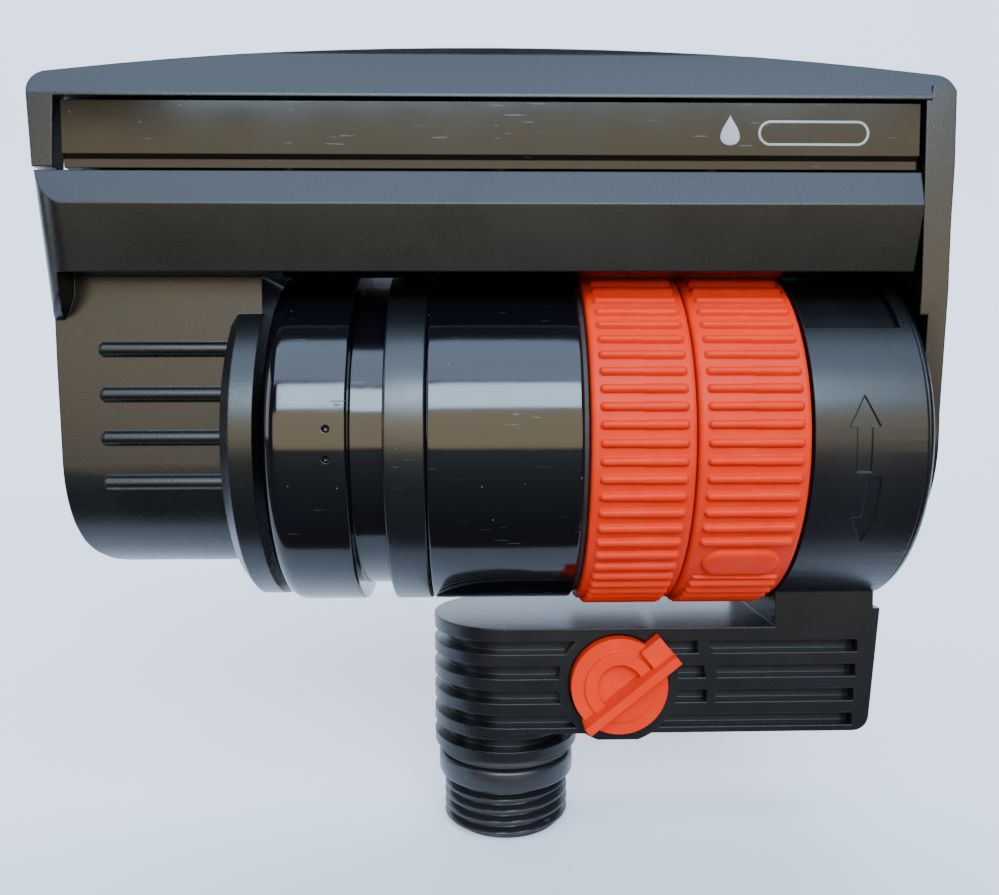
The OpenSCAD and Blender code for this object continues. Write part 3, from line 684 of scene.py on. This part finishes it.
@dataclass
class Barrel:
    """The fixed barrel: end cap, satin collar, glossy sleeve and washer."""

    neck: float = 24.4
    bore: float = 22.6
    sleeve_bore: float = 23.7
    hub: float = 8.1
    edge: float = 0.45
    cap_round: float = 2.6
    cap_wall: float = 2.8
    cap_length: float = 12.05
    washer_r: tuple[float, float] = (23.8, 26.0)
    mark_x: float = 9.25
    mark_rise: float = 2.1
    mark_r: float = 0.5
    mark_slope: float = 0.2
    mark_depth: float = 0.5
    steps: int = 224

    def build(self) -> None:
        """Makes the four turned pieces."""
        self.end_cap()
        self.sleeve("barrel_sleeve", "drive_barrel", BARREL_BLACK, self.sleeve_bore)
        self.sleeve("satin_collar", "barrel_collar", COLLAR_BLACK, self.neck + 0.05)
        low, high = span("ring_washer")
        inner, outer = self.washer_r
        x0, x1 = low[0], high[0]
        outline = rounded([(inner, x0, 0.1), (outer, x0, 0.2), (outer, x1, 0.2), (inner, x1, 0.1)])
        washer = turned("dark_washer", outline, around(self.steps))
        finish_piece(washer, SEAL_RUBBER, Body.HOUSING, ("ring_washer",))

    def sleeve(self, name: str, node: str, finish: PolishedPlastic, bore: float) -> None:
        """Makes a plain tube with softly rounded rims that stands for a node.

        Args:
            name: The piece's name.
            node: The CAD node, which gives the tube's length and outer radius.
            finish: The tube's finish.
            bore: Radius of its bore in millimetres.
        """
        low, high = span(node)
        r, x0, x1 = (high[2] - low[2]) / 2, low[0], high[0]
        corners = [(bore, x0, 0.1), (r, x0, self.edge), (r, x1, self.edge), (bore, x1, 0.1)]
        tube = turned(name, densified(rounded(corners), 2.5), around(self.steps))
        finish_piece(tube, finish, Body.HOUSING, (node,))

    def end_cap(self) -> None:
        """Makes the cap's bell, neck and end wall, with two round marks sunk in its front.

        The bell is a turned outline. Its grid is finer round the marks, where the radius falls by mark_depth
        over a ring mark_slope wide.
        """
        low, high = span("end_cap")
        r, x0, x1 = (high[2] - low[2]) / 2, low[0], high[0]
        shoulder, wall, mark_x = x0 + self.cap_length, x0 + self.cap_wall, x0 + self.mark_x
        corners = [
            (self.hub, x0, 0.2), (r, x0, self.cap_round), (r, shoulder, self.edge),
            (self.neck, shoulder, 0.25), (self.neck, x1, 0.15), (self.bore, x1, 0.15),
            (self.bore, wall, 0.8), (self.hub, wall, 0.2),
        ]
        outline = densified(rounded(corners, 8), 1.5)
        mark_angles = [math.asin(-z / r) + math.pi / 2 for z in (-self.mark_rise, self.mark_rise)]

        def sunk(radius: np.ndarray, x: np.ndarray, a: np.ndarray) -> np.ndarray:
            """Height of the dimples: full depth in the middle, and a straight slope up to mark_r."""
            depth = np.zeros_like(radius)
            for mark_angle in mark_angles:
                d = np.hypot(x - mark_x, r * (a - mark_angle))
                share = np.clip((self.mark_r - d) / self.mark_slope, 0, 1)
                depth = np.maximum(depth, self.mark_depth * share)
            return np.where(radius > r - 0.1, -depth, 0)

        near = np.concatenate([m + np.linspace(-0.03, 0.03, 13) for m in mark_angles])
        angles = np.unique(np.concatenate([around(self.steps), near]).round(6))
        extra_x = mark_x + np.linspace(-0.7, 0.7, 11)
        rim = outline[:, 0] > r - 0.05
        first, last = np.flatnonzero(rim)[[0, -1]]
        extra = np.stack([np.full_like(extra_x, r), extra_x], -1)
        rim_rows = np.concatenate([outline[first:last + 1], extra])
        rim_rows = rim_rows[np.argsort(rim_rows[:, 1])]
        outline = np.concatenate([outline[:first], rim_rows, outline[last + 1:]])
        bell = turned("end_cap_bell", outline, angles, sunk)
        finish_piece(bell, BARREL_BLACK, Body.HOUSING, ("end_cap",))


@dataclass
class LimitRing:
    """A ribbed ring that sets one end of the sweep."""

    node: str
    body: Body
    pointer: bool
    ribs: int = 68
    rib_width: float = 1.25
    rib_height: float = 0.75
    land: float = 1.15
    body_r: float = 27.3
    bore: float = 23.75
    pointer_angle: float = 131
    pointer_clear: float = 7.4
    pointer_size: tuple[float, float] = (11.6, 5.4)
    pointer_rise: tuple[float, float] = (-0.8, 0.78)
    pointer_inset: float = 0.34
    flank: tuple[float, ...] = (0.1, 0.18, 0.225, 0.255, 0.29, 0.36)

    def angles(self) -> np.ndarray:
        """Returns angles that are bunched on the ribs' flanks, which lie at the given shares of the pitch."""
        pitch = TAU / self.ribs
        side = np.array(self.flank)
        samples = np.concatenate([[-0.5], -side[::-1], [0.0], side])
        return (np.arange(self.ribs)[:, None] * pitch + samples * pitch).ravel()

    def rib(self, r: np.ndarray, x: np.ndarray, a: np.ndarray) -> np.ndarray:
        """Height of the ribs: a rounded bar whose section is a flattened half circle.

        Args:
            r: Radius of the smooth ring.
            x: Place along the axis.
            a: Angle round the axis.

        Returns:
            The height added to the radius, which is nothing off the outer face.
        """
        low, high = span(self.node)
        x0, x1 = low[0] + self.land, high[0] - self.land
        middle = (x0 + x1) / 2
        half = self.rib_width / 2 * np.where(x > middle, 1.06, 0.96)
        pitch = TAU / self.ribs
        across = self.body_r * ((a + pitch / 2) % pitch - pitch / 2)
        along = np.maximum(0, np.maximum(x0 + half - x, x - (x1 - half)))
        d = np.hypot(along, across) / half
        height = self.rib_height * np.clip(1 - np.clip(d, 0, 1) ** 3.0, 0, 1) ** 0.6
        if self.pointer:
            away = np.abs((a - math.radians(self.pointer_angle) + math.pi) % TAU - math.pi)
            height = np.where(away < math.radians(self.pointer_clear), 0, height)
        return np.where(r > self.body_r - 0.05, height, 0)

    def build(self) -> None:
        """Makes the ring, and its raised pointer if it has one."""
        low, high = span(self.node)
        x0, x1, r = low[0], high[0], self.body_r
        corners = [(self.bore, x0, 0.2), (r, x0, 0.7), (r, x1, 0.7), (self.bore, x1, 0.2)]
        outline = rounded(corners, 6)
        middle, half = (x0 + x1) / 2, self.rib_width / 2
        ends = self.land + half * np.array([-0.25, 0.0, 0.12, 0.3, 0.55, 0.85, 1.15])
        straight = np.linspace(x0 + 3.4, x1 - 3.4, 8)
        top = np.sort(np.concatenate([x0 + ends, x1 - ends, straight, [middle - 0.12, middle + 0.12]]))
        cut = int(np.argmax(outline[:, 1] > middle))
        outline = np.concatenate([outline[:cut], np.stack([np.full_like(top, r), top], -1), outline[cut:]])
        pieces = [turned(self.node + "_body", outline, self.angles(), self.rib)]
        if self.pointer:
            pieces.append(self.raised_pointer(middle))
        ring = joined(self.node + "_ribbed", pieces)
        finish_piece(ring, SIGNAL_ORANGE, self.body, (self.node,), angle=50)

    def raised_pointer(self, middle: float) -> bpy.types.Object:
        """Makes a long oval pad on the ring.

        Its edge is a stadium that shrinks towards the top, and its height follows a quarter of an ellipse.

        Args:
            middle: The pad's middle along the barrel, in millimetres.

        Returns:
            The pad.
        """
        length, width = self.pointer_size
        foot, top = self.pointer_rise
        t, quarter = around(72), np.linspace(0, math.pi / 2, 12)
        end = np.sign(np.cos(t)) * (length - width) / 2
        shrink = np.concatenate([[1.0], 1 - self.pointer_inset * (1 - np.cos(quarter))])[:, None]
        rise = np.concatenate([[foot], top * np.sin(quarter)])[:, None]
        along = end + width / 2 * np.cos(t) * shrink
        across = width / 2 * np.sin(t) * shrink
        r = self.body_r + rise
        a = math.radians(self.pointer_angle) + across / self.body_r
        rings = np.stack([middle + along, -r * np.sin(a), barrel_axis_z() + r * np.cos(a)], -1)
        return lofted(self.node + "_pointer", rings)


@dataclass
class Spigot:
    """The threaded inlet spigot with its collar."""

    crest: float = 10.478
    root: float = 9.316
    pitch: float = 1.814
    ridge_foot: float = 0.36
    ridge_slope: float = 0.24
    thread_top: float = 6.3
    bore: float = 7.0
    throat: float = 6.3
    plug: float = 7.9
    plug_top: float = 19.2
    neck: float = 9.7
    neck_top: float = 12.5
    steps: int = 160

    def outline_above_thread(self, bottom: float) -> list[tuple[float, float]]:
        """Gives the outline from the top of the thread round to the bottom's edge.

        Args:
            bottom: Height of the spigot's lower end in millimetres.

        Returns:
            (radius, z) over the collar, neck and plug, down the bore and out along the bottom.
        """
        collar = [(9.32, 7.0), (9.6, 7.06), (11.0, 7.1), (11.3, 7.25), (11.4, 7.6), (11.4, 10.1),
                  (11.3, 10.4), (11.0, 10.58), (9.8, 10.65)]
        neck = [(self.neck, 10.8), (self.neck, self.neck_top)]
        plug = [(self.plug, self.neck_top), (self.plug, self.plug_top), (self.throat, self.plug_top)]
        inside = [(self.throat, 8.2), (self.bore, 8.0), (self.bore, bottom + 0.3), (self.bore + 0.3, bottom)]
        return collar + neck + plug + inside + [(9.0, bottom)]

    def build(self) -> None:
        """Makes the spigot as a turned grid whose outer radius carries a ridge along a helix.

        The ridge's middle climbs one pitch in a turn. Its section is a flat crest with straight flanks,
        given as shares of the pitch, and it fades in at the bottom and out at the top.
        """
        bottom = span("inlet_spigot")[0, 2]
        z_thread = np.arange(bottom + 0.25, 6.9, 0.105)
        base = np.array([(self.root, z) for z in z_thread] + self.outline_above_thread(bottom))
        a = around(self.steps)
        r = np.broadcast_to(base[:, :1], (len(base), len(a))).copy()
        lead = (a / TAU) * self.pitch
        phase = ((z_thread[:, None] - lead[None] + self.pitch / 2) % self.pitch) / self.pitch - 0.5
        ridge = np.clip((self.ridge_foot - np.abs(phase)) / self.ridge_slope, 0, 1)
        start = z_thread[0] + 0.1
        fade = np.clip((z_thread - start) / 0.7, 0, 1) * np.clip((self.thread_top - z_thread) / 0.6, 0, 1)
        r[:len(z_thread)] += (self.crest - self.root) * ridge * fade[:, None]
        z = np.broadcast_to(base[:, 1:2], r.shape)
        pts = np.stack([r * np.sin(a), -r * np.cos(a), z], -1)
        obj = make_mesh("threaded_spigot", pts.reshape(-1, 3), grid_faces(len(base), len(a), True, True))
        finish_piece(obj, SPIGOT_BLACK, Body.HOUSING, ("inlet_spigot",), angle=50)


@dataclass
class Mouldings:
    """The large moulded pieces, taken from the CAD with their edges rounded."""

    housing_edge: float = 0.45
    arm_edge: float = 0.5
    hood_edge: float = 0.85
    strip_edge: float = 0.5
    knob_edge: float = 0.35

    def build(self) -> None:
        """Makes the housing, swing arm, hood, nozzle body, knob and drum end cap."""
        plan = [
            ("housing_shell", "housing", self.housing_edge, HOUSING_BLACK, Body.HOUSING, "matte_black"),
            ("water_arm", "swing_arm", self.arm_edge, ARM_BLACK, Body.SWING, "matte_black"),
            ("hood_cover", "hood", self.hood_edge, ARM_BLACK, Body.SWING, "matte_black"),
            ("nozzle_strip", "nozzle_body", self.strip_edge, STRIP_BLACK, Body.SWING, "gloss_black"),
            ("knob_cap", "flow_knob", self.knob_edge, SIGNAL_ORANGE, Body.VALVE, "orange"),
            ("drum_cap", "drum_end_cap", self.housing_edge, HOUSING_BLACK, Body.HOUSING, "matte_black"),
        ]
        for name, node, edge, finish, body, slot in plan:
            finish_piece(moulded(name, node, edge), finish, body, (node,))


@dataclass
class StripMark:
    """A printed droplet beside an outlined pill near the right end of the nozzle strip."""

    thick: float = 0.05
    height: float = 107.5
    drop_x: float = 31.2
    drop_size: float = 2.1
    pill_x: tuple[float, float] = (35.2, 51.0)
    pill_half: float = 1.75
    line: float = 0.35

    def plate(self, name: str, outer: np.ndarray, inner: np.ndarray | None = None) -> bpy.types.Object:
        """Makes a thin plate on the strip's front face.

        Args:
            name: The piece's name.
            outer: Rows of (x, z), in order.
            inner: The same number of rows for the hole's edge, or None for a plain plate.

        Returns:
            The new object.
        """
        front = span("nozzle_body")[0, 1]

        def at(points: np.ndarray, y: float) -> np.ndarray:
            """Places an outline at a depth."""
            return np.stack([points[:, 0], np.full(len(points), y), points[:, 1]], -1)

        y0, y1 = front - self.thick, front + self.thick
        if inner is None:
            return lofted(name, np.stack([at(outer, y0), at(outer, y1)]))
        rings = np.stack([at(outer, y0), at(outer, y1), at(inner, y1), at(inner, y0)])
        return make_mesh(name, rings.reshape(-1, 3), grid_faces(4, len(outer), True, True))

    def build(self) -> None:
        """Makes the droplet, a circle drawn in towards its top, and the pill, one stadium inside another."""
        t = around(64)
        taper = np.sin(t / 2) ** 1.6
        drop = np.stack([self.drop_x + self.drop_size * np.sin(t) * taper * 0.95,
                         self.height + 0.4 + self.drop_size * np.cos(t)], -1)
        middle, half = sum(self.pill_x) / 2, (self.pill_x[1] - self.pill_x[0]) / 2
        side = np.sign(np.cos(t + 1e-6)) * (half - self.pill_half)

        def pill(r: float) -> np.ndarray:
            """A stadium outline of radius r."""
            return np.stack([middle + side + r * np.cos(t), self.height + r * np.sin(t)], -1)

        outlined = self.plate("pill", pill(self.pill_half), pill(self.pill_half - self.line))
        mark = joined("strip_mark", [self.plate("drop", drop), outlined])
        finish_piece(mark, MARK_GREY, Body.SWING)


@dataclass
class CadDress:
    """Finishes for the CAD nodes that stay as they are."""

    finishes: dict[str, Finish] = field(default_factory=lambda: {
        "acetal": GEAR_WHITE, "steel": PIN_STEEL, "seal": SEAL_RUBBER, "nozzle": NOZZLE_RUBBER,
        "matte_black": ARM_BLACK, "gloss_black": BARREL_BLACK, "orange": SIGNAL_ORANGE, "washer": SEAL_RUBBER,
    })

    def build(self) -> None:
        """Gives each CAD node the finish of its material slot."""
        for part in frame["record"]["subparts"]:
            node = frame["nodes"][part["node"]]
            material = self.finishes[part["material_slot"]].material()
            node.data.materials.clear()
            node.data.materials.append(material)
            LOG.info("%s keeps its CAD mesh", part["node"])


# --- studio ----------------------------------------------------------------------


@dataclass
class Studio:
    """Pale sweep, a dark card of painted shade, soft lights and the camera."""

    floor_colour: Triple = (0.66, 0.70, 0.80)
    floor_glow: float = 0.25
    front: float = -430.0
    back: float = 620.0
    bend: float = 300.0
    tall: float = 1100.0
    half_width: float = 1500.0
    card_half_width: float = 1400.0
    card_back: float = -32.0
    card_lift: float = 0.5
    lens: float = 30.2
    sensor: float = 36.0
    eye: Triple = (-4.18, -141.72, 70.46)
    yaw: float = -0.023
    pitch: float = -0.06
    roll: float = 0.003

    def build(self) -> None:
        """Makes the sweep, the lights, the world and the camera."""
        self.sweep()
        self.front_card()
        self.lights()
        self.camera()

    def sweep(self) -> None:
        """Makes a floor that curves up by a quarter circle into a wall well behind the object."""
        floor = float(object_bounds()[0][2]) / MM
        arc = np.linspace(0, math.pi / 2, 24)
        y = np.concatenate([[self.front], self.back - self.bend + self.bend * np.sin(arc), [self.back]])
        z = np.concatenate([[floor], floor + self.bend - self.bend * np.cos(arc), [self.tall]])
        x = np.array([-self.half_width, self.half_width])
        pts = np.stack(np.broadcast_arrays(x[:, None], y[None], z[None]), -1)
        obj = make_mesh("studio_sweep", pts.reshape(-1, 3), grid_faces(2, len(y), False, False))
        obj.data.shade_smooth()
        s = Shader("sweep_paper")
        paper = s.noise(60, 3)
        pale = tuple(c * 1.04 for c in self.floor_colour)
        s.link(s.mix(paper, self.floor_colour, pale), s.bsdf.inputs["Base Color"])
        s.bsdf.inputs["Roughness"].default_value = 0.9
        s.bsdf.inputs["Specular IOR Level"].default_value = 0.1
        s.bsdf.inputs["Emission Color"].default_value = (0.85, 0.93, 1.0, 1)
        s.bsdf.inputs["Emission Strength"].default_value = self.floor_glow
        obj.data.materials.append(s.mat)
        obj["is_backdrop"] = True

    def area(self, name: str, place: Triple, aim: Triple, size: tuple[float, float], power: float,
             colour: Triple) -> None:
        """Hangs a soft rectangular light.

        Args:
            name: Its name.
            place: Where it stands, in millimetres.
            aim: The point that it faces, in millimetres.
            size: Width and height in millimetres.
            power: Watts.
            colour: Linear colour.
        """
        data = bpy.data.lights.new(name, "AREA")
        data.shape = "RECTANGLE"
        data.size, data.size_y = size[0] * MM, size[1] * MM
        data.energy = power
        data.color = colour
        obj = bpy.data.objects.new(name, data)
        here, there = np.array(place, dtype=float), np.array(aim, dtype=float)
        back = (here - there) / np.linalg.norm(here - there)
        side = np.cross((0.0, 0.0, 1.0), back)
        side = side / np.linalg.norm(side)
        up = np.cross(back, side)
        turn = Matrix(np.stack([side, up, back], 1).tolist()).to_4x4()
        obj.matrix_world = Matrix.Translation(here * MM) @ turn
        bpy.context.scene.collection.objects.link(obj)

    def front_card(self) -> None:
        """Makes a dark card of painted shade in front of the pale paper, which the lower faces reflect as
        their dark lower half.
        """
        z = float(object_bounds()[0][2]) / MM + self.card_lift
        w = self.card_half_width
        near, far = self.front, self.card_back
        pts = np.array([[-w, near, z], [w, near, z], [w, far, z], [-w, far, z]])
        obj = make_mesh("front_card", pts, [[0, 1, 2, 3]])
        # Painted shade: a dark card, not a real table top, that the lower faces reflect in place of the lit
        # paper.
        s = Shader("painted_shade_card")
        painted_shade_tone = s.mix(s.noise(40, 3), (0.030, 0.025, 0.022), (0.045, 0.038, 0.032))
        s.link(painted_shade_tone, s.bsdf.inputs["Base Color"])
        s.bsdf.inputs["Roughness"].default_value = 0.7
        obj.data.materials.append(s.mat)
        obj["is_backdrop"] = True

    def lights(self) -> None:
        """Hangs a cool window in front, a warm wall under it, a bluish ceiling and fills for the paper."""
        centre = (0.0, 0.0, barrel_axis_z())
        self.area("window", (200, -3000, 1700), centre, (2900, 1000), 200.0, (0.60, 0.80, 1.0))
        self.area("warm_wall", (250, -3000, 400), centre, (5200, 1380), 90.0, (1.0, 0.84, 0.56))
        self.area("ceiling", (0, -560, 800), centre, (1300, 480), 11.0, (0.56, 0.74, 1.0))
        self.area("back_fill", (0, 430, 1000), (0, 620, 0), (1400, 460), 12.0, (0.93, 0.96, 1.0))
        self.area("left_fill", (-900, -250, 300), centre, (400, 500), 2.2, (0.9, 0.95, 1.0))
        world = bpy.data.worlds.new("room")
        world.use_nodes = True
        world.node_tree.nodes["Background"].inputs["Color"].default_value = (0.55, 0.60, 0.68, 1)
        world.node_tree.nodes["Background"].inputs["Strength"].default_value = 0.12
        bpy.context.scene.world = world

    def camera(self) -> None:
        """Stands the camera close in front of the barrel: turned by yaw, then by pitch, then by roll."""
        cy, sy = math.cos(self.yaw), math.sin(self.yaw)
        cp, sp = math.cos(self.pitch), math.sin(self.pitch)
        cr, sr = math.cos(self.roll), math.sin(self.roll)
        about_z = np.array([[cy, -sy, 0], [sy, cy, 0], [0, 0, 1]])
        about_x = np.array([[1, 0, 0], [0, cp, -sp], [0, sp, cp]])
        about_y = np.array([[cr, 0, sr], [0, 1, 0], [-sr, 0, cr]])
        right, ahead, up = (about_z @ about_x @ about_y).T
        data = bpy.data.cameras.new("camera")
        data.lens = self.lens
        data.sensor_width = self.sensor
        data.clip_start = 0.01
        obj = bpy.data.objects.new("camera", data)
        obj.matrix_world = (Matrix.Translation(np.array(self.eye) * MM)
                            @ Matrix(np.stack([right, up, -ahead], 1).tolist()).to_4x4())
        bpy.context.scene.collection.objects.link(obj)
        bpy.context.scene.camera = obj


def main() -> None:
    """Builds the studio and every piece."""
    logging.basicConfig(level=logging.INFO, format="%(name)s: %(message)s")
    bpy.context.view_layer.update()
    Studio().build()
    CadDress().build()
    Barrel().build()
    LimitRing("limit_ring_left", Body.LIMIT_LEFT, False).build()
    LimitRing("limit_ring_right", Body.LIMIT_RIGHT, True).build()
    Spigot().build()
    Mouldings().build()
    StripMark().build()


if __name__ == "__main__":
    main()
